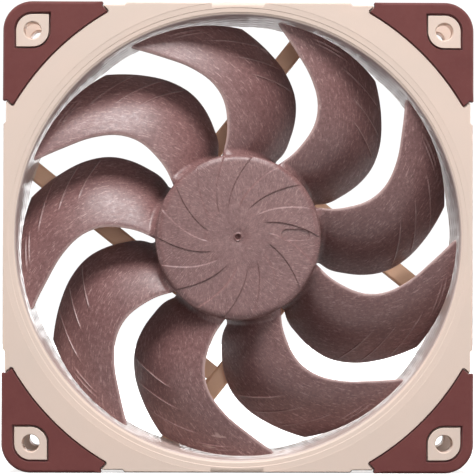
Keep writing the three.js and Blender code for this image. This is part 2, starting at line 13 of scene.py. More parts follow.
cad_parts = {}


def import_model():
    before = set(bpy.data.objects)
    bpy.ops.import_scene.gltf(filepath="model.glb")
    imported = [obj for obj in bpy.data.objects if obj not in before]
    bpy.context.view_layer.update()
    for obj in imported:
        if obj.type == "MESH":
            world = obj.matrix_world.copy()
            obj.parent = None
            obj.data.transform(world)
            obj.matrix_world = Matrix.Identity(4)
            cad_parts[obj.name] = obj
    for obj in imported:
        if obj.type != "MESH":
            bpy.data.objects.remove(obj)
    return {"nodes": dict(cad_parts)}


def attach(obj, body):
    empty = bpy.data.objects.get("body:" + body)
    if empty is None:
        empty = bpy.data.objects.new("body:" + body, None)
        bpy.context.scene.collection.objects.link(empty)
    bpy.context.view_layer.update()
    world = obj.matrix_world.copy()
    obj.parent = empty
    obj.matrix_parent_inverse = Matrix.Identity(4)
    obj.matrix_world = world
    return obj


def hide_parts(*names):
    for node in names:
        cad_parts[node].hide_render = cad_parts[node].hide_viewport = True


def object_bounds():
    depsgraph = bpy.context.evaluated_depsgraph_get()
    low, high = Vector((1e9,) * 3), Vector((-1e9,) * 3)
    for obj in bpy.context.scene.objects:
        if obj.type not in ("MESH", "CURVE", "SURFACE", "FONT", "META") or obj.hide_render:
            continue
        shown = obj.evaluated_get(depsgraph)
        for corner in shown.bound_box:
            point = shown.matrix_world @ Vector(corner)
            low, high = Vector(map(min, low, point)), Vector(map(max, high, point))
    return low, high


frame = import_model()
CAD_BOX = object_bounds()

MM = 0.001

# ---- dimensions, as in the CAD ----
HALF_WIDTH = 60.0
HALF_DEPTH = 12.5
FRAME_SIDE = 59.8
RELIEF_SIDE = 59.2
RELIEF_START = 28.6
FRAME_FACE = 12.3
PAD_THICKNESS = 2.2
GAP = 0.3
PAD_SEAT = HALF_DEPTH - PAD_THICKNESS - GAP
FLANGE_FOOT = PAD_SEAT - 2.6
CORNER = 52.5
HOLE_RADIUS = 2.15
PAD_ARC_RADIUS = 66.5
PAD_EDGE_LENGTH = 25.5
PAD_TAIL_ANGLE = 28.8
BORE_RADIUS = 56.5
TUBE_RADIUS = 58.8
TUBE_HALF_LENGTH = 9.0
LAND_HALF_LENGTH = 20.0

BLADE_COUNT = 9
BLADE_TIP_RADIUS = 56.0
BLADE_ROOT_RADIUS = 20.3
BLADE_FRONT = -9.5
BLADE_REAR = 7.3
BLADE_CAMBER = 0.48
# Radius, then the angles of the leading edge and of the next blade's trailing edge.
BLADE_EDGES = (
    (20, 22.5, 26.5),
    (25, 17.1, 21.9),
    (30, 15.5, 22.5),
    (35, 16.1, 24.4),
    (40, 19.5, 27.8),
    (45, 25.7, 33.4),
    (50, 33.0, 40.7),
    (56, 40.3, 50.0),
)
HUB_RADIUS = 21.2
HUB_FRONT = -12.3
HUB_REAR = 7.5
HUB_INNER = 19.7
CAP_REAR = -10.5

STRUT_TANGENT_RADIUS = 19.5
STRUT_FOOT_ANGLE = 51.5
STRUT_WIDTH = 4.8
STRUT_FRONT = 9.2
BASE_REAR = 12.2
BASE_RADIUS = 21.4
CABLE_STRUT = 3


# ---- meshes ----


def turn(points, degrees):
    """Turns points about the spin axis, counter-clockwise as seen from the intake."""
    a = math.radians(degrees)
    p = np.array(points, float)
    x, z = p[..., 0].copy(), p[..., 2].copy()
    p[..., 0] = x * math.cos(a) - z * math.sin(a)
    p[..., 2] = x * math.sin(a) + z * math.cos(a)
    return p


def make(name, vertices, faces):
    """An object from points in millimetres, with its normals facing out."""
    mesh = bpy.data.meshes.new(name)
    mesh.from_pydata([tuple(v) for v in np.asarray(vertices, float) * MM], [], faces)
    bm = bmesh.new()
    bm.from_mesh(mesh)
    bmesh.ops.recalc_face_normals(bm, faces=bm.faces)
    bm.to_mesh(mesh)
    bm.free()
    obj = bpy.data.objects.new(name, mesh)
    bpy.context.scene.collection.objects.link(obj)
    return obj


def side_faces(count, n, loop=False):
    """Faces between neighbours in a row of rings of n points. With loop, the last meets the first."""
    faces = []
    for k in range(count if loop else count - 1):
        a, b = k * n, ((k + 1) % count) * n
        faces += [(a + i, a + (i + 1) % n, b + (i + 1) % n, b + i) for i in range(n)]
    return faces


class Build:
    """Closed shells gathered into one mesh."""

    def __init__(self):
        self.vertices = []
        self.faces = []
        self.count = 0

    def add(self, points, faces):
        self.vertices.append(np.asarray(points, float).reshape(-1, 3))
        self.faces += [tuple(i + self.count for i in f) for f in faces]
        self.count += len(self.vertices[-1])

    def loft(self, rings, loop=False):
        """Joins rings of the same number of points. Without loop, the two ends are capped."""
        n = len(rings[0])
        faces = side_faces(len(rings), n, loop)
        if not loop:
            faces.append(tuple(range(n)))
            faces.append(tuple(range((len(rings) - 1) * n, len(rings) * n)))
        self.add(np.concatenate([np.asarray(r, float) for r in rings]), faces)

    def object(self, name):
        return make(name, np.concatenate(self.vertices), self.faces)


LONGEST_MITRE = 2.2


def inset(outline, distance, weights=None):
    """Moves a closed counter-clockwise outline of (x, z) points inwards.

    The weights scale the distance from point to point.
    """
    p = np.asarray(outline, float)
    before, after = np.roll(p, 1, 0), np.roll(p, -1, 0)
    a, b = p - before, after - p
    a /= np.linalg.norm(a, axis=1)[:, None]
    b /= np.linalg.norm(b, axis=1)[:, None]
    na, nb = np.stack([-a[:, 1], a[:, 0]], 1), np.stack([-b[:, 1], b[:, 0]], 1)
    mitre = (na + nb) / (1 + (na * nb).sum(1))[:, None]
    length = np.linalg.norm(mitre, axis=1)
    mitre *= np.minimum(1, LONGEST_MITRE / length)[:, None]
    w = np.ones(len(p)) if weights is None else weights
    return p + mitre * (distance * w)[:, None]


def level(outline, y):
    """An outline of (x, z) points at a depth."""
    o = np.asarray(outline, float)
    return np.stack([o[:, 0], np.full(len(o), y), o[:, 1]], 1)


def stack(build, outline, rings, degrees=0.0):
    """A prism through rings of (inset, depth), turned about the axis."""
    build.loft([turn(level(inset(outline, d), y), degrees) for d, y in rings])


def round_rim(radius, face, direction, steps=4):
    """(inset, depth) pairs of a rounded rim, from the face inwards. direction is the way into the body."""
    out = []
    for k in range(steps + 1):
        a = k / steps * math.pi / 2
        out.append((radius * (1 - math.sin(a)), face + direction * radius * (1 - math.cos(a))))
    return out


def circle(sides):
    """Angles evenly round a circle, in radians."""
    return np.arange(sides) / sides * 2 * math.pi


def ring(radius, y, angles):
    """Points round the axis at a depth. The radius may differ from point to point."""
    return np.stack([radius * np.cos(angles), y + 0 * angles, radius * np.sin(angles)], 1)


def lathe(build, profile, sides, centre=(0.0, 0.0), loop=True, degrees=0.0):
    """A profile of (radius, depth) points turned about a line along Y.

    Without loop, its two ends are capped.
    """
    offset = np.array([centre[0], 0.0, centre[1]])
    rings = [turn(ring(r, y, circle(sides)) + offset, degrees) for r, y in profile]
    build.loft(rings, loop=loop)


def combine(target, tool, operation):
    """Joins or cuts target with tool, and removes tool."""
    modifier = target.modifiers.new(operation, "BOOLEAN")
    modifier.operation = operation
    modifier.solver = "MANIFOLD"
    modifier.object = tool
    graph = bpy.context.evaluated_depsgraph_get()
    mesh = bpy.data.meshes.new_from_object(target.evaluated_get(graph))
    target.modifiers.clear()
    old = target.data
    target.data = mesh
    bpy.data.meshes.remove(old)
    spent = tool.data
    bpy.data.objects.remove(tool)
    bpy.data.meshes.remove(spent)


def smooth(obj, degrees):
    """Smooth shading up to an angle, with flat faces kept flat."""
    mesh = obj.data
    mesh.polygons.foreach_set("use_smooth", [True] * len(mesh.polygons))
    mesh.set_sharp_from_angle(angle=math.radians(degrees))
    modifier = obj.modifiers.new("flat faces", "WEIGHTED_NORMAL")
    modifier.keep_sharp = True
    modifier.weight = 60


def arc(cx, cz, radius, start, end, steps):
    """Points of (x, z) on an arc, angles in degrees."""
    t = np.radians(np.linspace(start, end, steps + 1))
    return [(cx + radius * math.cos(a), cz + radius * math.sin(a)) for a in t]


# ---- outlines ----


def frame_outline():
    """A flange: its four straight edges step back a little before the round corners."""
    step = FRAME_SIDE - RELIEF_SIDE
    quarter = [(FRAME_SIDE, -RELIEF_START), (FRAME_SIDE, RELIEF_START)]
    quarter.append((RELIEF_SIDE, RELIEF_START + step))
    quarter += arc(CORNER, CORNER, RELIEF_SIDE - CORNER, 0, 90, 14)
    quarter.append((RELIEF_START + step, RELIEF_SIDE))
    points = []
    for side in range(4):
        c, s = [(1, 0), (0, 1), (-1, 0), (0, -1)][side]
        points += [(x * c - z * s, x * s + z * c) for x, z in quarter]
    return np.array(points)


def round_corner(before, corner, after, radius, steps=4):
    """Points of an arc that rounds a corner of an outline."""
    b, c, a = (np.array(p, float) for p in (before, corner, after))
    u = (b - c) / np.linalg.norm(b - c)
    v = (a - c) / np.linalg.norm(a - c)
    half = math.acos(max(-1.0, min(1.0, float(u @ v)))) / 2
    centre = c + (u + v) / np.linalg.norm(u + v) * radius / math.sin(half)
    start = c + u * radius / math.tan(half) - centre
    end = c + v * radius / math.tan(half) - centre
    sweep = math.atan2(start[0] * end[1] - start[1] * end[0], start @ end)
    turns = [sweep * k / steps for k in range(steps + 1)]
    x, z = start
    return [
        (centre[0] + x * math.cos(t) - z * math.sin(t), centre[1] + x * math.sin(t) + z * math.cos(t))
        for t in turns
    ]


PAD_NOTCH_X = 58.85
PAD_NOTCH_LIFT = 0.25
PAD_TIP_RADIUS = 0.28
PAD_END_RADIUS = 0.3
PAD_ARC_STEPS = 48


def pad_outline():
    """The top right pad, and how much its rim is rounded at each point."""
    slant = math.radians(PAD_TAIL_ANGLE)
    side = HALF_WIDTH
    radius = PAD_ARC_RADIUS
    edge = HALF_WIDTH - PAD_EDGE_LENGTH
    along = side * math.cos(slant) + edge * math.sin(slant)
    reach = along - math.sqrt(along**2 - (side**2 + edge**2 - radius**2))
    tail = (side - reach * math.cos(slant), edge - reach * math.sin(slant))
    angle = math.degrees(math.atan2(tail[1], tail[0]))
    # A small notch between the edge's end and the tail's tip.
    notch = (PAD_NOTCH_X, edge + PAD_NOTCH_LIFT)
    slope = (notch[0] - math.cos(slant), notch[1] - math.sin(slant))
    arc_points = arc(0, 0, radius, 90 - angle, angle, PAD_ARC_STEPS)
    low_tip = round_corner(arc_points[-3], tail, slope, PAD_TIP_RADIUS)
    low_end = round_corner(notch, (side, edge), (side, edge + 3), PAD_END_RADIUS)
    low = low_tip + [notch] + low_end
    high = [(z, x) for x, z in reversed(low)]
    # The rim is fully round at the corner, and nearly sharp at the tips and along the arc.
    parts = [
        ([notch], 0.25),
        (low_end, 0.28),
        ([(side, edge + 2.5)], 0.95),
        (arc(CORNER, CORNER, side - CORNER, 0, 90, 22), 1.0),
        ([(edge + 2.5, side)], 0.95),
        (high[:5], 0.28),
        (high[5:], 0.25),
        (arc_points[2:-2], 0.1),
        (low_tip, 0.25),
    ]
    points = [p for part, _ in parts for p in part]
    weights = [w for part, w in parts for _ in part]
    return np.array(points), np.array(weights)


def leaf_outline(size):
    """A square whose two corners on the fan's diagonal are rounded."""
    half = size / 2
    points = [(CORNER + half, CORNER - half)]
    points += arc(CORNER, CORNER, half, 0, 90, 16)
    points.append((CORNER - half, CORNER + half))
    points += arc(CORNER, CORNER, half, 180, 270, 16)
    return np.array(points)


# ---- frame ----

DUCT_SIDES = 432  # also the columns of the wall's small marks
TUBE_SIDES = 216
WALL_FRONT = -9.0
WALL_REAR = 11.6
MARK_PITCH = 12  # columns from one mark to the next in its row
MARK_ROW = 1.5  # millimetres between rows
MARK_HEIGHT = 0.13
PAD_GROOVE = 0.38
BOSS_SIZE = 8.3
WINDOW_SIZE = 9.3
SKIRT = 0.26
FLANGE_ROUND = 0.35
FLANGE_INNER_ROUND = 0.2
BOSS_ROUND = 0.12


def flanges():
    build = Build()
    outline = frame_outline()
    for side in (-1, 1):
        rings = round_rim(FLANGE_ROUND, side * FRAME_FACE, -side)
        rings += round_rim(FLANGE_INNER_ROUND, side * FLANGE_FOOT, side)[::-1]
        stack(build, outline, rings)
    return build.object("frame_visual")


def duct():
    build = Build()
    inner, outer, end = BORE_RADIUS - 1, TUBE_RADIUS, TUBE_HALF_LENGTH
    lathe(build, [(inner, -end), (outer, -end), (outer, end), (inner, end)], TUBE_SIDES)
    return build.object("duct")


def lands():
    """The flat land in the middle of each side, with its ends rounded into the duct."""
    build = Build()
    for side in range(4):
        half = LAND_HALF_LENGTH
        outline = [(54, -half), (58.6, -half - 0.9), (59.3, -half - 0.55)]
        outline += [(FRAME_SIDE, -half), (FRAME_SIDE, half)]
        outline += [(59.3, half + 0.55), (58.6, half + 0.9), (54, half)]
        stack(build, outline, [(0, -TUBE_HALF_LENGTH), (0, TUBE_HALF_LENGTH)], side * 90)
    return build.object("lands")


def pad_recesses():
    """The cutters for the pads' seats, a groove wider than the pads, with a chamfer at the face."""
    build = Build()
    outline, _ = pad_outline()
    for side in (-1, 1):
        rings = [(-PAD_GROOVE, side * PAD_SEAT), (-PAD_GROOVE, side * (FRAME_FACE - 0.06))]
        rings += [(-PAD_GROOVE - 0.06, side * FRAME_FACE), (-PAD_GROOVE - 0.06, side * (FRAME_FACE + 1))]
        for corner in range(4):
            stack(build, outline, rings, corner * 90)
    return build.object("recesses")


def screw_bosses():
    """The leaf-shaped islands that stand in the pads' windows."""
    build = Build()
    outline = leaf_outline(BOSS_SIZE)
    for side in (-1, 1):
        rings = round_rim(BOSS_ROUND, side * FRAME_FACE, -side) + [(0, side * (PAD_SEAT - 0.5))]
        for corner in range(4):
            stack(build, outline, rings, corner * 90)
    return build.object("bosses")


def screw_holes():
    """The cutters for the holes, each with a softly rounded mouth."""
    build = Build()
    foot, face = FLANGE_FOOT, FRAME_FACE
    steps = [(0.25, foot - 1), (0.25, foot), (0, foot + 0.25), (0, face - 0.75)]
    steps += [(0.04, face - 0.3), (0.14, face - 0.1), (0.3, face), (0.3, 13.5)]
    for side in (-1, 1):
        profile = [(HOLE_RADIUS + wider, side * depth) for wider, depth in steps]
        for corner in range(4):
            lathe(build, profile, 48, (CORNER, CORNER), loop=False, degrees=corner * 90)
    return build.object("holes")


def bore():
    """The cutter for the duct's inside: stepped at the intake, with rows of small marks on the wall."""
    # Radius and depth: two faint steps on the frame's face, then the lip's round.
    profile = [(60.05, -13.3), (60.05, -12.27), (60.0, -12.25), (58.6, -12.19), (58.52, -12.16)]
    profile += [(58.46, -12.1), (57.5, -12.04), (57.42, -12.02), (57.36, -11.96), (56.95, -11.9)]
    profile += [(56.78, -11.8), (56.65, -11.6), (56.57, -11.25), (56.53, -10.6)]
    profile += [(BORE_RADIUS, WALL_FRONT)]
    rings = [(np.full(DUCT_SIDES, r), y) for r, y in profile]
    columns = np.arange(DUCT_SIDES)
    rows = int(round((WALL_REAR - WALL_FRONT) / MARK_ROW))
    spread = (0.2, 0.35, 0.5, 0.65, 0.8)
    shape = (0.0, 0.75, 1.0, 0.75, 0.0)
    for row in range(rows):
        for at, strength in zip(spread, shape):
            # Each mark is a short dash that leans along the air's turn.
            lean = (at - 0.5) * 2.4
            phase = (columns - lean - (row % 3) * MARK_PITCH / 3) % MARK_PITCH
            along = np.clip(1 - np.abs(phase - MARK_PITCH / 2) / 2.2, 0, 1)
            depth = MARK_HEIGHT * strength * np.minimum(1, along * 1.6)
            rings.append((BORE_RADIUS - depth, WALL_FRONT + (row + at) * MARK_ROW))
    rings.append((np.full(DUCT_SIDES, BORE_RADIUS), WALL_REAR))
    for r, y in ((56.56, 11.95), (56.72, 12.2), (56.95, 12.3), (56.95, 13.3)):
        rings.append((np.full(DUCT_SIDES, r), y))
    build = Build()
    build.loft([ring(r, y, circle(DUCT_SIDES)) for r, y in rings])
    return build.object("bore")


def rounded_bar(left, right, front, rear, front_round, rear_round, steps=4):
    """A cross-section of (x, y) points, rounded at its corners."""
    points = []
    corners = (
        (left, front, 180, front_round),
        (right, front, 270, front_round),
        (right, rear, 0, rear_round),
        (left, rear, 90, rear_round),
    )
    for x, y, start, r in corners:
        cx = x + r if x == left else x - r
        cy = y + r if y == front else y - r
        for k in range(steps + 1):
            a = math.radians(start + 90 * k / steps)
            points.append((cx + r * math.cos(a), cy + r * math.sin(a)))
    return np.array(points)


STRUT_INNER = STRUT_TANGENT_RADIUS - STRUT_WIDTH / 2
STRUT_OUTER = STRUT_TANGENT_RADIUS + STRUT_WIDTH / 2
STRUT_FRONT_ROUND = 0.8
STRUT_REAR_ROUND = 0.35
STRUT_STATIONS = (-55.5, -40, -20, 0)


def struts():
    """Four bars from the duct to the middle, each tangent to a circle round the axis."""
    build = Build()
    section = rounded_bar(
        STRUT_INNER, STRUT_OUTER, STRUT_FRONT, BASE_REAR, STRUT_FRONT_ROUND, STRUT_REAR_ROUND
    )
    rings = [np.stack([section[:, 0], section[:, 1], np.full(len(section), z)], 1) for z in STRUT_STATIONS]
    for i in range(4):
        build.loft([turn(r, STRUT_FOOT_ANGLE + 90 * i) for r in rings])
    return build.object("struts")


CABLE_STRUT_ANGLE = STRUT_FOOT_ANGLE + 90 * CABLE_STRUT


def wing():
    """The small guard beside the cable strut, which keeps the leads in their channel."""
    build = Build()
    inner = STRUT_INNER
    outline = [(inner + 1.2, -43), (inner + 1.2, -29.8), (inner - 4.0, -29.8)]
    outline += [(inner - 4.4, -30.2), (inner - 4.4, -38.1), (inner - 4.1, -38.8), (inner + 0.2, -43)]
    rings = round_rim(0.3, STRUT_FRONT + 0.5, 1, 3) + round_rim(0.2, BASE_REAR, -1, 3)[::-1]
    stack(build, outline, rings, CABLE_STRUT_ANGLE)
    return build.object("wing")


def wing_slot():
    """The cutter for the gap between the guard and the strut."""
    build = Build()
    left, right = STRUT_INNER - 0.9, STRUT_INNER - 0.2
    outline = [(left, -34.9), (right, -34.9), (right, -34), (left, -34)]
    stack(build, outline, [(0, 8), (0, 13)], CABLE_STRUT_ANGLE)
    return build.object("slot")


def middle_cutter():
    """Clears the struts' inner ends out of the motor base."""
    build = Build()
    lathe(build, [(20.5, 8), (20.5, 13.5)], 96, loop=False)
    return build.object("middle")


def motor_base():
    """The cup behind the hub, with the bearing tube in its middle."""
    build = Build()
    # Radius and depth: the bearing tube, the floor, the raised ring and the label's recess.
    profile = [(4.9, -8), (5.9, -8), (6.1, -7.8), (6.1, 10.6), (19.8, 10.6), (19.8, 8.75)]
    profile += [(19.95, 8.6), (21.15, 8.6), (21.33, 8.7), (BASE_RADIUS, 8.9), (BASE_RADIUS, 11.7)]
    profile += [(21.25, 12.05), (20.9, BASE_REAR), (17.85, BASE_REAR), (17.68, 12.13)]
    profile += [(17.6, 11.95), (17.6, 11.9), (4.9, 11.9)]
    lathe(build, profile, 144)
    return build.object("base")


def cable_cut(left, right, bottom, top, front):
    """A slot in the back of the cable strut, with a small chamfer at its mouth."""
    build = Build()
    outline = [(left, bottom), (right, bottom), (right, top), (left, top)]
    rings = [(0, front), (0, 12.05), (-0.15, BASE_REAR), (-0.15, 13)]
    stack(build, outline, rings, CABLE_STRUT_ANGLE)
    return build.object("cable cut")


CABLE_CHANNEL = (18.3, 20.7, -64, -0.4, 10.9)
CABLE_DOOR = (18.0, 20.4, -3.6, -0.4, 8.2)


def frame_visual():
    body = flanges()
    combine(body, duct(), "UNION")
    combine(body, lands(), "UNION")
    combine(body, pad_recesses(), "DIFFERENCE")
    combine(body, screw_bosses(), "UNION")
    combine(body, screw_holes(), "DIFFERENCE")
    combine(body, bore(), "DIFFERENCE")
    spider = struts()
    combine(spider, wing(), "UNION")
    combine(spider, wing_slot(), "DIFFERENCE")
    combine(spider, middle_cutter(), "DIFFERENCE")
    combine(spider, motor_base(), "UNION")
    combine(body, spider, "UNION")
    combine(body, cable_cut(*CABLE_CHANNEL), "DIFFERENCE")
    combine(body, cable_cut(*CABLE_DOOR), "DIFFERENCE")
    smooth(body, 40)
    return body


def polish_duct_and_paint_glow(body):
    """Gives the duct's inner wall the smoother finish of its own part of the mould, with a weak painted glow
    for the light that bounces about in it.
    """
    body.data.materials.append(duct_finish())
    for face in body.data.polygons:
        c, n = face.center / MM, face.normal
        r = math.hypot(c.x, c.z)
        inward = -(n.x * c.x + n.z * c.z) / r
        if abs(r - BORE_RADIUS) < 0.5 and inward > 0.5:
            face.material_index = 1


# ---- pads ----


PAD_RIM = 0.85


def pad_window(side, corner):
    """The cutter for the leaf-shaped window, narrower below the frame's face."""
    build = Build()
    rings = [(SKIRT, side * (PAD_SEAT - 1)), (SKIRT, side * (FRAME_FACE - 0.75))]
    rings += [(0, side * (FRAME_FACE - 0.7)), (0, side * (HALF_DEPTH - 0.25))]
    rings += [(-0.03, side * (HALF_DEPTH - 0.08)), (-0.12, side * HALF_DEPTH)]
    rings += [(-0.12, side * (HALF_DEPTH + 1))]
    stack(build, leaf_outline(WINDOW_SIZE), rings, corner * 90)
    return build.object("window")


def pad_visual(side, corner, name):
    """A pad with a rounded rim and a skirt that nearly fills the groove along its arc."""
    build = Build()
    outline, weights = pad_outline()
    skirt = np.where(np.hypot(outline[:, 0], outline[:, 1]) < PAD_ARC_RADIUS + 0.02, SKIRT, 0.0)
    rings = [(inset(outline, d, weights), y) for d, y in round_rim(PAD_RIM, side * HALF_DEPTH, -side, 6)]
    rings.append((inset(outline, 0), side * (FRAME_FACE - 0.7)))
    rings.append((inset(outline, -1, skirt), side * (FRAME_FACE - 0.75)))
    rings.append((inset(outline, -1, skirt), side * (PAD_SEAT + GAP)))
    build.loft([turn(level(points, y), corner * 90) for points, y in rings])
    body = build.object(name)
    combine(body, pad_window(side, corner), "DIFFERENCE")
    smooth(body, 38)
    return body


# ---- impeller ----


def edge_angle(radius, column):
    """Reads a column of BLADE_EDGES at any radius, by a smooth curve through its stations."""
    radii = [row[0] for row in BLADE_EDGES]
    last = len(radii) - 1
    i = next((k for k, r in enumerate(radii) if r >= radius), last)
    i = min(max(i, 1), last)

    def at(k, c):
        return BLADE_EDGES[min(max(k, 0), last)][c]

    def slope(k):
        return (at(k + 1, column) - at(k - 1, column)) / (at(k + 1, 0) - at(k - 1, 0))

    span = radii[i] - radii[i - 1]
    t = (radius - radii[i - 1]) / span
    return (
        at(i - 1, column) * (2 * t**3 - 3 * t**2 + 1)
        + slope(i - 1) * span * (t**3 - 2 * t**2 + t)
        + at(i, column) * (3 * t**2 - 2 * t**3)
        + slope(i) * span * (t**3 - t**2)
    )


BLADE_THICKNESS = 0.95
BLADE_BELLY = 0.65  # added to the thickness in the middle of the chord
BLADE_NOSE = 1.25
BLADE_TAIL = 0.4
FILLET = 1.5
FILLET_REACH = 1.7
# The thin raised lines near a blade's trailing edge: their radius before the drift, and how far
# each reaches forward, as a share of the chord.
LINES = ((41.0, 0.52), (45.5, 0.5), (50.2, 0.5))
LINE_REACH = 0.5
LINE_DRIFT = 1.4
LINE_HEIGHT = 0.34
LINE_HALF_WIDTH = 0.2
TIP_LINES = (53.9, 54.8)
TIP_LINE_HEIGHT = 0.26
TIP_DROP = 0.8
TIP_CORNERS = (1.4, 0.3)  # rounding at the leading and the trailing edge
CHORD_STEPS = 32


def ease(t):
    """A smooth step from 0 to 1."""
    t = min(1.0, max(0.0, t))
    return t * t * (3 - 2 * t)


def blade_stations():
    """Radii of a blade's sections, close together at its root and round each raised line."""
    radii = list(np.arange(BLADE_ROOT_RADIUS, 23.4, 0.3)) + list(np.arange(23.6, 55.2, 1.0))
    radii += [55.4, 55.7, 55.88, BLADE_TIP_RADIUS]
    near = [r for r, _ in LINES] + list(TIP_LINES)
    radii = [r for r in radii if all(abs(r - n) > 0.55 for n in near)]
    for n in near:
        radii += [n + d for d in (-0.42, -0.24, -0.12, 0, 0.12, 0.24, 0.42)]
    return sorted(radii)


def section_radius(station, share):
    """Radius of a point on a section, which drifts outwards with the lines and ends short of the tip."""
    reach = (1 - share) / LINE_REACH
    drift = LINE_DRIFT * min(1.0, reach) * ease((station - 36) / 4) * ease((53.5 - station) / 3.2)
    # The tip draws in a little towards the trailing edge, and its two corners are rounded.
    near_tip = ease((station - 53) / 3)
    radius = station + drift - TIP_DROP * max(0.0, (share - 0.45) / 0.55) ** 2 * near_tip
    width = math.radians(360 / BLADE_COUNT - 10) * station
    for distance, corner in zip((share * width, (1 - share) * width), TIP_CORNERS):
        back = max(0.0, 1 - distance / corner)
        radius -= corner * (1 - math.sqrt(1 - back**2)) * near_tip * 0.8
    return radius


def blade_point(station, share, side):
    """A point of a blade: station is the section's radius before the lines' drift.

    share runs from 0 at the leading edge to 1 at the trailing one, and side is -1 in front.
    """
    radius = section_radius(station, share)
    lead = math.radians(edge_angle(radius, 1) + 360 / BLADE_COUNT)
    trail = math.radians(edge_angle(radius, 2))
    depth = BLADE_REAR - BLADE_FRONT
    arc_slope = (trail - lead) * radius
    depth_slope = depth * (BLADE_CAMBER + 3 * (1 - BLADE_CAMBER) * share**2)
    length = math.hypot(arc_slope, depth_slope)
    fillet = FILLET * max(0.0, min(1.0, 1 - (radius - HUB_RADIUS + 0.1) / FILLET_REACH)) ** 1.5
    half = (BLADE_THICKNESS + BLADE_BELLY * math.sin(math.pi * share)) / 2
    half += fillet * (1.0 if side < 0 else 0.7)
    chord = abs(lead - trail) * radius
    nose = max(0.0, 1 - share * chord / (BLADE_NOSE + fillet))
    tail = max(0.0, 1 - (1 - share) * chord / BLADE_TAIL)
    half *= math.sqrt(1 - nose**2) * math.sqrt(1 - tail**2)
    if side < 0:
        for r, span in LINES:
            fade = ease((share - 1 + span) / 0.08) * ease((0.95 - share) / 0.06)
            half += LINE_HEIGHT * fade * math.exp(-(((station - r) / LINE_HALF_WIDTH) ** 2))
        for r in TIP_LINES:
            fade = ease((share - 0.3) / 0.08) * ease((0.64 - share) / 0.08)
            half += TIP_LINE_HEIGHT * fade * math.exp(-(((station - r) / LINE_HALF_WIDTH) ** 2))
    # The half thickness is set off square to the section's line.
    offset = side * half
    angle = lead + (trail - lead) * share + ((depth_slope / length) * offset) / radius
    y = BLADE_FRONT + depth * (BLADE_CAMBER * share + (1 - BLADE_CAMBER) * share**3)
    y -= (arc_slope / length) * offset
    return (radius * math.cos(angle), y, radius * math.sin(angle))


def blades():
    shares = 0.5 - 0.5 * np.cos(np.linspace(0, math.pi, CHORD_STEPS + 1))
    shares = 0.55 * shares + 0.45 * np.linspace(0, 1, CHORD_STEPS + 1)
    rings = []
    for station in blade_stations():
        front = [blade_point(station, s, -1) for s in shares]
        back = [blade_point(station, s, 1) for s in shares[-2:0:-1]]
        rings.append(np.array(front + back))
    n = len(rings[0])
    points = np.concatenate(rings)
    faces = side_faces(len(rings), n)
    for base in (0, (len(rings) - 1) * n):
        for i in range(CHORD_STEPS):
            quad = [base + i, base + i + 1, base + (n - i - 1) % n, base + (n - i) % n]
            faces.append(tuple(dict.fromkeys(quad)))
    build = Build()
    for k in range(BLADE_COUNT):
        build.add(turn(points, k * 360 / BLADE_COUNT), faces)
    return build.object("blades")


# The cap's sectors lie in turn a little above and below its dome, with swept steps between them.
RIDGES = 18
RIDGE_PITCH = 20  # degrees from one step to the next
RIDGE_INNER = 7.4
RIDGE_OUTER = 20.9
RIDGE_SWEEP = 12
RIDGE_BOW = 1.86
STEP_RAISED = 0.15
STEP_LOWERED = 0.17
STEP_WIDTH = 0.42
# Where the mesh has points across a pitch, in degrees, close together at the step.
RIDGE_OFFSETS = (0, 0.35, 0.7, 1.1, 1.6, 2.6, 4.5, 7, 10, 13, 15.5, 17.4, 18.4, 18.9, 19.3, 19.65)
# Radius and depth of the cap's dome, and of the cup's side and inside.
DOME = ((0, 0), (6, 0.03), (12, 0.15), (17, 0.36), (19.4, 0.52), (21.2, 0.64))
CUP = (
    (21.2, -8),
    (21.2, 7.2),
    (21.1, 7.42),
    (20.9, HUB_REAR),
    (19.9, HUB_REAR),
    (19.7, 7.3),
    (HUB_INNER, -9.9),
    (19.5, -10.35),
    (19.1, CAP_REAR),
    (5, CAP_REAR),
)


def cap_depth(radius):
    """Depth of the hub cap's face: a dome, a rounded edge, and a dimple with a raised ring in it."""
    y = np.interp(radius, [r for r, _ in DOME], [d for _, d in DOME])
    across = min(1.0, max(0.0, (radius - 19.2) / 2.0))
    y += 1.7 * (1 - math.sqrt(1 - across**2))
    dimple = 0.8 * math.exp(-((radius / 1.8) ** 2)) + 0.75 * math.exp(-((radius / 0.5) ** 4))
    raised = -0.42 * math.exp(-(((radius - 0.88) / 0.24) ** 2))
    return HUB_FRONT + y + dimple + raised


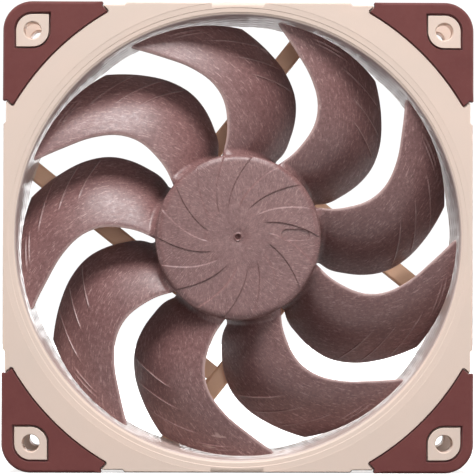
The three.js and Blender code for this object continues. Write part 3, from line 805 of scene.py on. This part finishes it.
def hub():
    """The hub's cup, with the swept steps on its cap."""
    pitch = RIDGE_PITCH
    offsets = np.concatenate([np.array(RIDGE_OFFSETS) + pitch * k for k in range(RIDGES)])
    near = np.minimum(offsets % pitch, pitch - offsets % pitch)
    radii = [0.12, 0.24, 0.36, 0.5, 0.65, 0.8, 0.95, 1.15, 1.4, 1.8, 2.4, 3.2, 4.2, 5.4, 6.6]
    radii += list(np.arange(RIDGE_INNER, 19.9, 0.42))
    radii += [19.9, 20.1, 20.3, 20.5, 20.7, 20.86, 21.0, 21.1, 21.17, 21.2]
    rings = []
    for r in radii:
        inward = max(0.0, (RIDGE_OUTER - r) / 6.5)
        twist = RIDGE_SWEEP * inward + RIDGE_BOW * inward * (inward - 1)
        angle = np.radians(offsets + twist)
        fade = ease((r - RIDGE_INNER) / 1.6) * ease((RIDGE_OUTER - r) / 0.4)
        across = np.clip(0.5 + np.radians(near) * r / STEP_WIDTH, 0, 1)
        rise = across * across * (3 - 2 * across)
        rise = np.where(offsets % (2 * pitch) < pitch, rise, 1 - rise)
        y = cap_depth(r) + STEP_LOWERED * fade - (STEP_RAISED + STEP_LOWERED) * fade * rise
        rings.append(ring(r, y, angle))
    rings += [ring(r, y, np.radians(offsets)) for r, y in CUP]
    build = Build()
    n = len(offsets)
    points = np.concatenate(rings + [np.array([[0, cap_depth(0), 0], [0, CAP_REAR, 0]])])
    faces = side_faces(len(rings), n)
    front, rear = len(rings) * n, len(rings) * n + 1
    last = (len(rings) - 1) * n
    for i in range(n):
        j = (i + 1) % n
        faces.append((front, i, j))
        faces.append((rear, last + i, last + j))
    build.add(points, faces)
    return build.object("impeller_visual")


RECESS_LENGTH = 7.3
RECESS_WIDTH = 3.1
RECESS_CENTRE = (14.6, 0.6)
RECESS_DEPTH = 0.255  # the dome's depth at its middle
RECESS_SLOPE = 0.042


def cap_mark():
    """The cutter for the shallow obround recess on the cap, sloped like the dome."""
    cx, cz = RECESS_CENTRE
    end = RECESS_WIDTH / 2
    straight = (RECESS_LENGTH - RECESS_WIDTH) / 2
    outline = arc(cx + straight, cz, end, -90, 90, 14) + arc(cx - straight, cz, end, 90, 270, 14)
    build = Build()
    rings = []
    for d, depth in ((0.26, 0.36), (0.18, 0.34), (0.02, 0.14), (0, 0.08), (0, -1.0)):
        points = level(inset(outline, d), 0)
        slope = RECESS_SLOPE * (points[:, 0] - cx)
        points[:, 1] = HUB_FRONT + RECESS_DEPTH + STEP_LOWERED + slope + depth
        rings.append(points)
    build.loft(rings)
    return build.object("mark")


def impeller_visual():
    body = hub()
    combine(body, cap_mark(), "DIFFERENCE")
    combine(body, blades(), "UNION")
    smooth(body, 50)
    return body


# ---- label and small parts ----


def label_visual():
    build = Build()
    profile = [(16.95, 12.2), (17.15, 12.22), (17.2, 12.3), (17.15, 12.38), (17.0, 12.4)]
    lathe(build, profile, 128, loop=False)
    body = build.object("rear_label_visual")
    smooth(body, 40)
    return body


# ---- materials ----


def srgb(r, g, b):
    """Linear colour of an sRGB one given from 0 to 255."""
    out = []
    for c in (r, g, b):
        c /= 255
        out.append(c / 12.92 if c <= 0.04045 else ((c + 0.055) / 1.055) ** 2.4)
    return (*out, 1.0)


class Finish:
    """A material's node tree, built a node at a time."""

    def __init__(self, name, roughness=0.5, metallic=0.0, specular=0.5):
        self.material = bpy.data.materials.new(name)
        self.material.use_nodes = True
        self.tree = self.material.node_tree
        self.tree.nodes.clear()
        self.shader = self.tree.nodes.new("ShaderNodeBsdfPrincipled")
        self.set("Roughness", roughness)
        self.set("Metallic", metallic)
        self.set("Specular IOR Level", specular)
        output = self.tree.nodes.new("ShaderNodeOutputMaterial")
        self.link(self.shader.outputs[0], output.inputs["Surface"])
        self.place = self.tree.nodes.new("ShaderNodeTexCoord").outputs["Object"]
        self.normal = None

    def link(self, a, b):
        self.tree.links.new(a, b)

    def feed(self, socket, value):
        if isinstance(value, (int, float, tuple)):
            socket.default_value = value
        else:
            self.link(value, socket)

    def set(self, name, value):
        self.feed(self.shader.inputs[name], value)

    def math(self, operation, a, b=0.0, c=0.0):
        node = self.tree.nodes.new("ShaderNodeMath")
        node.operation = operation
        for socket, value in zip(node.inputs, (a, b, c)):
            self.feed(socket, value)
        return node.outputs[0]

    def split(self, vector):
        node = self.tree.nodes.new("ShaderNodeSeparateXYZ")
        self.link(vector, node.inputs[0])
        return node.outputs

    def vector(self, x, y, z):
        node = self.tree.nodes.new("ShaderNodeCombineXYZ")
        for socket, value in zip(node.inputs, (x, y, z)):
            self.feed(socket, value)
        return node.outputs[0]

    def noise(self, per_mm, detail=3.0, rough=0.55, place=None):
        """Noise with a given number of waves per millimetre."""
        node = self.tree.nodes.new("ShaderNodeTexNoise")
        self.link(place or self.place, node.inputs["Vector"])
        node.inputs["Scale"].default_value = per_mm / MM
        node.inputs["Detail"].default_value = detail
        node.inputs["Roughness"].default_value = rough
        return node.outputs[0]

    def ramp(self, value, *stops):
        """A value or colour ramp through (position, colour) stops."""
        node = self.tree.nodes.new("ShaderNodeValToRGB")
        self.link(value, node.inputs[0])
        elements = node.color_ramp.elements
        while len(elements) < len(stops):
            elements.new(0.5)
        for element, (position, colour) in zip(elements, stops):
            element.position = position
            if isinstance(colour, (int, float)):
                colour = (colour, colour, colour, 1.0)
            element.color = colour
        return node.outputs[0]

    def mix(self, share, a, b):
        node = self.tree.nodes.new("ShaderNodeMix")
        node.data_type = "RGBA"
        self.feed(node.inputs[0], share)
        self.feed(node.inputs[6], a)
        self.feed(node.inputs[7], b)
        return node.outputs[2]

    def blend(self, pattern, one, other):
        """Runs from one colour to the other with a pattern."""
        return self.mix(self.ramp(pattern, (0.3, 0.0), (0.7, 1.0)), one, other)

    def bump(self, height, strength, distance_mm):
        node = self.tree.nodes.new("ShaderNodeBump")
        node.inputs["Strength"].default_value = strength
        node.inputs["Distance"].default_value = distance_mm * MM
        self.link(height, node.inputs["Height"])
        if self.normal:
            self.link(self.normal, node.inputs["Normal"])
        self.normal = node.outputs[0]
        self.set("Normal", self.normal)

    def colour(self, value):
        self.set("Base Color", value)

    def roughness(self, pattern, low, high):
        self.set("Roughness", self.ramp(pattern, (0.3, low), (0.7, high)))

    def around(self):
        """Radius in metres, angle in radians and depth in metres, about the spin axis."""
        x, y, z = self.split(self.place)
        radius = self.math("SQRT", self.math("ADD", self.math("MULTIPLY", x, x), self.math("MULTIPLY", z, z)))
        angle = self.math("ARCTAN2", z, x)
        return radius, angle, y


def frame_finish():
    """Fine-grained beige moulded plastic, with painted bounce light on the struts' fronts."""
    f = Finish("frame_plastic", 0.46, specular=0.45)
    broad = f.ramp(f.noise(0.045, 3), (0.35, 0.0), (0.65, 1.0))
    tone = f.mix(broad, srgb(243, 218, 203), srgb(238, 216, 202))
    speck = f.noise(2.2, 4, 0.7)
    tone = f.mix(f.ramp(speck, (0.62, 0.0), (0.8, 0.35)), tone, srgb(218, 192, 174))
    # Inside the duct the struts' fronts are painted a warmer tan, which fades out down their sides: painted
    # bounce light from the brown impeller, not the plastic's own colour. The ramp's positions are shares of
    # 20 mm of depth.
    radius, _, depth = f.around()
    inside = f.math("LESS_THAN", radius, (BORE_RADIUS - 0.5) * MM)
    painted_bounce_depth = f.math("DIVIDE", depth, 20 * MM)
    painted_bounce_depth = f.ramp(painted_bounce_depth, (0.4, 0.0), (0.42, 1.0), (0.49, 1.0), (0.56, 0.0))
    f.colour(f.mix(f.math("MULTIPLY", inside, painted_bounce_depth), tone, srgb(250, 206, 172)))
    f.roughness(f.noise(0.5, 4), 0.4, 0.52)
    f.bump(f.noise(3.0, 3, 0.6), 0.12, 0.05)
    f.bump(f.noise(0.35, 2), 0.08, 0.2)
    return f.material


def duct_finish():
    """The duct's polished inner wall, with a weak painted glow for the light that bounces about in it."""
    f = Finish("frame_plastic_polished_painted_glow", 0.34, specular=0.6)
    tone = f.blend(f.noise(0.3, 3), srgb(208, 186, 178), srgb(192, 170, 162))
    f.colour(tone)
    f.roughness(f.noise(0.7, 3), 0.28, 0.42)
    # Painted glow: the weak emission stands in for light bouncing about in the duct.
    f.set("Emission Color", srgb(236, 224, 226))
    f.set("Emission Strength", 0.06)
    f.bump(f.noise(1.5, 3), 0.1, 0.05)
    return f.material


def pad_finish():
    """Soft dark red rubber."""
    f = Finish("pad_rubber", 0.62, specular=0.35)
    tone = f.blend(f.noise(0.12, 4), srgb(110, 55, 53), srgb(118, 62, 59))
    tone = f.mix(f.ramp(f.noise(2.6, 3, 0.7), (0.6, 0.0), (0.8, 0.4)), tone, srgb(142, 88, 82))
    f.colour(tone)
    f.set("Sheen Weight", 0.12)
    f.set("Sheen Roughness", 0.5)
    f.roughness(f.noise(0.8, 4), 0.55, 0.72)
    f.bump(f.noise(3.4, 4, 0.65), 0.22, 0.06)
    return f.material


def impeller_finish():
    """Brown plastic filled with short glass fibres that lie along the blades."""
    f = Finish("impeller_plastic", 0.45, specular=0.8)
    radius, angle, depth = f.around()
    swirl = f.math("ADD", angle, f.math("MULTIPLY", radius, -20.0))
    stretch = ((radius, 0.35), (swirl, 0.045), (depth, 0.5))
    flow = f.vector(*(f.math("MULTIPLY", a, s) for a, s in stretch))
    cloud = f.noise(0.11, 4, 0.6)
    tone = f.blend(cloud, srgb(124, 86, 85), srgb(140, 101, 99))
    grain = f.noise(1.1, 5, 0.75)
    tone = f.mix(f.ramp(grain, (0.36, 0.75), (0.5, 0.0)), tone, srgb(106, 70, 69))
    tone = f.mix(f.ramp(grain, (0.55, 0.0), (0.7, 0.7)), tone, srgb(176, 140, 137))
    fibre = f.noise(1.6, 3, 0.8, flow)
    tone = f.mix(f.ramp(fibre, (0.56, 0.0), (0.68, 0.75)), tone, srgb(196, 160, 156))
    # The blades' ridges and edges are painted lighter: a painted highlight for the glints along them.
    geometry = f.tree.nodes.new("ShaderNodeNewGeometry")
    painted_glint = f.ramp(geometry.outputs["Pointiness"], (0.515, 0.0), (0.56, 0.6))
    painted_glint = f.math("MULTIPLY", painted_glint, f.math("GREATER_THAN", radius, (HUB_RADIUS + 1.5) * MM))
    f.colour(f.mix(painted_glint, tone, srgb(214, 182, 176)))
    f.roughness(f.noise(0.9, 4, 0.7), 0.36, 0.54)
    f.bump(f.noise(1.4, 5, 0.7), 0.25, 0.08)
    f.bump(fibre, 0.1, 0.05)
    return f.material


def label_finish():
    """A printed film with plain rings, a ring of ticks and no lettering."""
    f = Finish("label_film", 0.4, specular=0.5)
    radius, angle, _ = f.around()
    mm = f.math("DIVIDE", radius, MM)
    tone = f.blend(f.noise(0.4, 3), srgb(214, 203, 192), srgb(222, 212, 202))

    def band(low, high):
        return f.math("MULTIPLY", f.math("GREATER_THAN", mm, low), f.math("LESS_THAN", mm, high))

    tone = f.mix(band(13.6, 16.2), tone, srgb(112, 62, 58))
    tone = f.mix(band(12.7, 13.0), tone, srgb(112, 62, 58))
    tick = f.math("GREATER_THAN", f.math("SINE", f.math("MULTIPLY", angle, 36.0)), 0.75)
    tone = f.mix(f.math("MULTIPLY", tick, band(14.3, 15.5)), tone, srgb(222, 212, 202))
    tone = f.mix(f.math("LESS_THAN", mm, 2.4), tone, srgb(150, 110, 104))
    f.colour(tone)
    f.roughness(f.noise(0.7, 4), 0.32, 0.48)
    f.bump(f.noise(0.5, 3), 0.06, 0.05)
    return f.material


def metal_finish(name, light, dark, roughness, stretch=(1.0, 1.0, 1.0), grain=1.5, specks=0.3):
    """Turned, drawn or pressed metal: streaked, with small duller specks."""
    f = Finish(name, roughness, metallic=1.0)
    x, y, z = f.split(f.place)
    streaks = f.vector(*(f.math("MULTIPLY", a, s) for a, s in zip((x, y, z), stretch)))
    line = f.noise(grain, 4, 0.7, streaks)
    tone = f.blend(line, light, dark)
    tone = f.mix(f.ramp(f.noise(1.2, 4), (0.6, 0.0), (0.75, specks)), tone, dark)
    f.colour(tone)
    f.roughness(line, max(0.05, roughness - 0.08), roughness + 0.12)
    f.bump(line, 0.15, 0.03)
    return f.material


def plain_finish(name, light, dark, roughness, grain=1.2, bump=0.2):
    """Moulded, sintered or cast material with a fine grain and a broad variation of tone."""
    f = Finish(name, roughness)
    tone = f.mix(f.ramp(f.noise(grain, 4, 0.7), (0.35, 0.0), (0.65, 1.0)), light, dark)
    tone = f.mix(f.ramp(f.noise(grain * 0.2, 3), (0.4, 0.0), (0.8, 0.4)), tone, dark)
    f.colour(tone)
    f.roughness(f.noise(grain * 1.4, 3), max(0.05, roughness - 0.07), roughness + 0.1)
    f.bump(f.noise(grain * 2.2, 4, 0.7), bump, 0.05)
    return f.material


def laminated_finish():
    """Stacked steel sheets seen edge on."""
    f = Finish("laminated_steel", 0.45, metallic=1.0)
    _, depth, _ = f.split(f.place)
    sheet = f.math("FRACT", f.math("DIVIDE", depth, 0.5 * MM))
    seam = f.ramp(sheet, (0.0, 0.0), (0.12, 1.0), (0.88, 1.0), (1.0, 0.0))
    tone = f.blend(f.noise(0.8, 4), srgb(150, 152, 156), srgb(118, 120, 126))
    f.colour(f.mix(seam, srgb(48, 46, 46), tone))
    f.roughness(f.noise(1.0, 4), 0.38, 0.55)
    f.bump(seam, 0.5, 0.06)
    return f.material


def copper_finish():
    """Enamelled wire wound side by side round an arm."""
    f = Finish("copper_wire", 0.28, metallic=1.0)
    x, y, z = f.split(f.place)
    radius = f.math("MAXIMUM", f.math("ABSOLUTE", x), f.math("ABSOLUTE", z))
    turns = f.math("FRACT", f.math("DIVIDE", radius, 0.29 * MM))
    round_wire = f.math("SINE", f.math("MULTIPLY", turns, math.pi))
    tone = f.blend(f.noise(0.6, 4), srgb(186, 98, 52), srgb(160, 78, 38))
    # The sides of each turn and the grooves between them are painted darker: painted shade, beside the bump.
    f.colour(f.mix(f.ramp(round_wire, (0.0, 0.0), (0.5, 1.0)), srgb(60, 26, 14), tone))
    f.roughness(f.noise(0.9, 3), 0.22, 0.36)
    f.bump(round_wire, 0.8, 0.12)
    return f.material


def board_finish():
    """Green solder mask over faint tracks, with bare pads in a ring."""
    f = Finish("circuit_board", 0.38, specular=0.5)
    radius, angle, depth = f.around()
    mm = f.math("DIVIDE", radius, MM)
    track = f.math("GREATER_THAN", f.math("SINE", f.math("MULTIPLY", mm, 4.2)), 0.35)
    gaps = f.math("GREATER_THAN", f.math("SINE", f.math("MULTIPLY", angle, 7.0)), -0.55)
    tone = f.blend(f.noise(0.9, 4), srgb(34, 84, 52), srgb(28, 72, 44))
    tone = f.mix(f.math("MULTIPLY", track, gaps), tone, srgb(52, 112, 70))
    f.colour(tone)
    f.roughness(f.noise(1.0, 3), 0.3, 0.45)
    f.bump(track, 0.2, 0.03)
    return f.material


# ---- pieces ----

INSULATOR = (srgb(224, 220, 208), srgb(208, 202, 188))
FINISHES = {
    "frame_plastic": frame_finish(),
    "pad_rubber": pad_finish(),
    "impeller_plastic": impeller_finish(),
    "label_film": label_finish(),
    "yoke_steel": metal_finish("yoke_steel", srgb(176, 176, 178), srgb(142, 142, 146), 0.38, (1, 0.08, 1)),
    "shaft_steel": metal_finish("shaft_steel", srgb(206, 206, 208), srgb(176, 176, 180), 0.16, (0.1, 1, 0.1)),
    "laminated_steel": laminated_finish(),
    "magnet": plain_finish("magnet", srgb(66, 62, 60), srgb(44, 42, 42), 0.72, 1.8, 0.4),
    "brass": metal_finish("brass", srgb(198, 160, 88), srgb(168, 130, 66), 0.26, (0.2, 1, 0.2)),
    "bronze": metal_finish("bronze", srgb(158, 118, 76), srgb(110, 80, 52), 0.48, (1, 1, 1), 2.4, 0.7),
    "polymer": plain_finish("polymer", srgb(236, 232, 222), srgb(222, 216, 204), 0.42, 0.9, 0.12),
    "insulator_plastic": plain_finish("insulator_plastic", *INSULATOR, 0.46, 0.9, 0.15),
    "copper_wire": copper_finish(),
    "circuit_board": board_finish(),
    "chip_resin": plain_finish("chip_resin", srgb(44, 44, 47), srgb(32, 32, 34), 0.55, 2.4, 0.3),
    "chip_ceramic": plain_finish("chip_ceramic", srgb(188, 160, 112), srgb(166, 138, 92), 0.5, 1.6, 0.2),
}
# The nodes that are used as they come from the CAD, each with its finish.
NODE_FINISHES = {
    "rear_label": "label_film",
    "cable_gland": "pad_rubber",
    "bearing_shell": "brass",
    "sleeve_bearing": "bronze",
    "oil_seal": "polymer",
    "thrust_washer": "polymer",
    "stator_core": "laminated_steel",
    "insulator_front": "insulator_plastic",
    "insulator_rear": "insulator_plastic",
    "circuit_board": "circuit_board",
    "driver_chip": "chip_resin",
    "hall_sensor": "chip_resin",
    "resistor_1": "chip_resin",
    "resistor_2": "chip_resin",
    "capacitor_1": "chip_ceramic",
    "capacitor_2": "chip_ceramic",
    "rotor_yoke": "yoke_steel",
    "magnet_ring": "magnet",
    "shaft_boss": "brass",
    "shaft": "shaft_steel",
    "retaining_clip": "shaft_steel",
    **{f"coil_{i}": "copper_wire" for i in range(1, 5)},
    **{f"terminal_pin_{i}": "shaft_steel" for i in range(1, 4)},
}


def install(obj, body, slot, *nodes):
    """Gives a finished piece its material and its body, and hides the CAD nodes it stands for."""
    obj.data.materials.clear()
    obj.data.materials.append(FINISHES[slot])
    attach(obj, body)
    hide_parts(*nodes)


def build_object():
    body = frame_visual()
    install(body, "housing", "frame_plastic", "frame")
    polish_duct_and_paint_glow(body)
    for side, end in ((-1, "front"), (1, "rear")):
        for corner, place in enumerate(("top_right", "top_left", "bottom_left", "bottom_right")):
            node = f"pad_{end}_{place}"
            install(pad_visual(side, corner, node + "_visual"), "housing", "pad_rubber", node)
    install(impeller_visual(), "rotor", "impeller_plastic", "impeller")
    install(label_visual(), "housing", "label_film", "rear_label")
    for node, slot in NODE_FINISHES.items():
        obj = frame["nodes"][node]
        for held in obj.material_slots:
            held.material = FINISHES[slot]


# ---- studio ----

# Each light's place and size in metres, its watts, and whether it shows in reflections.
LIGHTS = {
    "key": ((0.0, -0.52, 0.86), (0.6, 0.4), 11.5, True),
    "front": ((0.2, -1.0, 0.1), (0.9, 0.9), 3.8, True),
    "back": ((-0.08, 0.95, 0.14), (0.4, 0.4), 2.0, False),
    "gleam": ((0.12, 0.95, 0.03), (0.36, 0.18), 0.9, True),
    "left": ((-0.9, 0.03, 0.14), (0.3, 0.5), 4.0, True),
    "right": ((0.9, 0.03, 0.14), (0.3, 0.5), 4.0, True),
}
WORLD_DIFFUSE = 0.035
WORLD_FRONT = 0.07
WORLD_REAR = 0.75
WORLD_SEEN = 1.05
FLOOR_HALF = 6000.0
CAMERA_PLACE = (-5.6, -542.5, -10.0)
CAMERA_AIM = (-0.15, -HALF_DEPTH, -0.12)
CAMERA_ROLL = 0.17
CAMERA_LENS = 158


def area_light(name, place, size, watts, mirrored):
    """A rectangular light that faces the object and isn't seen itself."""
    data = bpy.data.lights.new(name, "AREA")
    data.shape = "RECTANGLE"
    data.size, data.size_y = size
    data.energy = watts
    light = bpy.data.objects.new(name, data)
    light.visible_camera = False
    light.visible_glossy = mirrored
    bpy.context.scene.collection.objects.link(light)
    light.location = place
    light.rotation_euler = (-Vector(place)).to_track_quat("-Z", "Y").to_euler()


def floor(low):
    """A wide pale floor under the object, whiter away from it."""
    half = FLOOR_HALF
    z = low / MM
    build = Build()
    corners = [[-half, -half, z], [half, -half, z], [half, half, z], [-half, half, z]]
    build.add(corners, [(0, 1, 2, 3)])
    body = build.object("floor")
    f = Finish("floor", 0.9, specular=0.0)
    x, y, _ = f.split(f.place)
    far = f.math("SQRT", f.math("ADD", f.math("MULTIPLY", x, x), f.math("MULTIPLY", y, y)))
    f.colour((0.86, 0.86, 0.86, 1.0))
    f.set("Emission Color", (1, 1, 1, 1))
    seen = f.tree.nodes.new("ShaderNodeLightPath").outputs["Is Camera Ray"]
    glow = f.ramp(far, (0.03, 0.6), (0.16, 1.0))
    f.set("Emission Strength", f.math("MULTIPLY_ADD", seen, glow, 0.02))
    body.data.materials.append(f.material)
    body.visible_diffuse = False


def world():
    """Bright behind the object, dimmer in front, and plain white to the camera."""
    w = bpy.data.worlds.new("studio")
    bpy.context.scene.world = w
    w.use_nodes = True
    tree = w.node_tree
    tree.nodes.clear()
    place = tree.nodes.new("ShaderNodeTexCoord")
    split = tree.nodes.new("ShaderNodeSeparateXYZ")
    tree.links.new(place.outputs["Generated"], split.inputs[0])
    ramp = tree.nodes.new("ShaderNodeMapRange")
    ramp.inputs["From Min"].default_value = 0.7
    ramp.inputs["From Max"].default_value = 0.96
    ramp.inputs["To Min"].default_value = WORLD_FRONT
    ramp.inputs["To Max"].default_value = WORLD_REAR
    tree.links.new(split.outputs[1], ramp.inputs["Value"])
    path = tree.nodes.new("ShaderNodeLightPath")
    output = tree.nodes.new("ShaderNodeOutputWorld")

    def background(strength):
        node = tree.nodes.new("ShaderNodeBackground")
        node.inputs["Color"].default_value = (1, 1, 1, 1)
        if isinstance(strength, float):
            node.inputs["Strength"].default_value = strength
        else:
            tree.links.new(strength, node.inputs["Strength"])
        return node.outputs[0]

    def choose(test, otherwise, then):
        node = tree.nodes.new("ShaderNodeMixShader")
        tree.links.new(path.outputs[test], node.inputs[0])
        tree.links.new(otherwise, node.inputs[1])
        tree.links.new(then, node.inputs[2])
        return node.outputs[0]

    seen = choose("Is Diffuse Ray", background(ramp.outputs[0]), background(WORLD_DIFFUSE))
    tree.links.new(choose("Is Camera Ray", seen, background(WORLD_SEEN)), output.inputs["Surface"])


def camera():
    """In front, a little left of the axis and below it, as the photo was taken."""
    data = bpy.data.cameras.new("camera")
    data.sensor_width = 36
    data.lens = CAMERA_LENS
    cam = bpy.data.objects.new("camera", data)
    bpy.context.scene.collection.objects.link(cam)
    cam.location = Vector(CAMERA_PLACE) * MM
    aim = (Vector(CAMERA_AIM) * MM - cam.location).to_track_quat("-Z", "Y")
    cam.rotation_mode = "QUATERNION"
    cam.rotation_quaternion = aim @ Quaternion((0, 0, 1), math.radians(CAMERA_ROLL))
    bpy.context.scene.camera = cam


build_object()
world()
floor(CAD_BOX[0].z)
for light, settings in LIGHTS.items():
    area_light(light, *settings)
camera()
bpy.context.scene.view_settings.view_transform = "Standard"
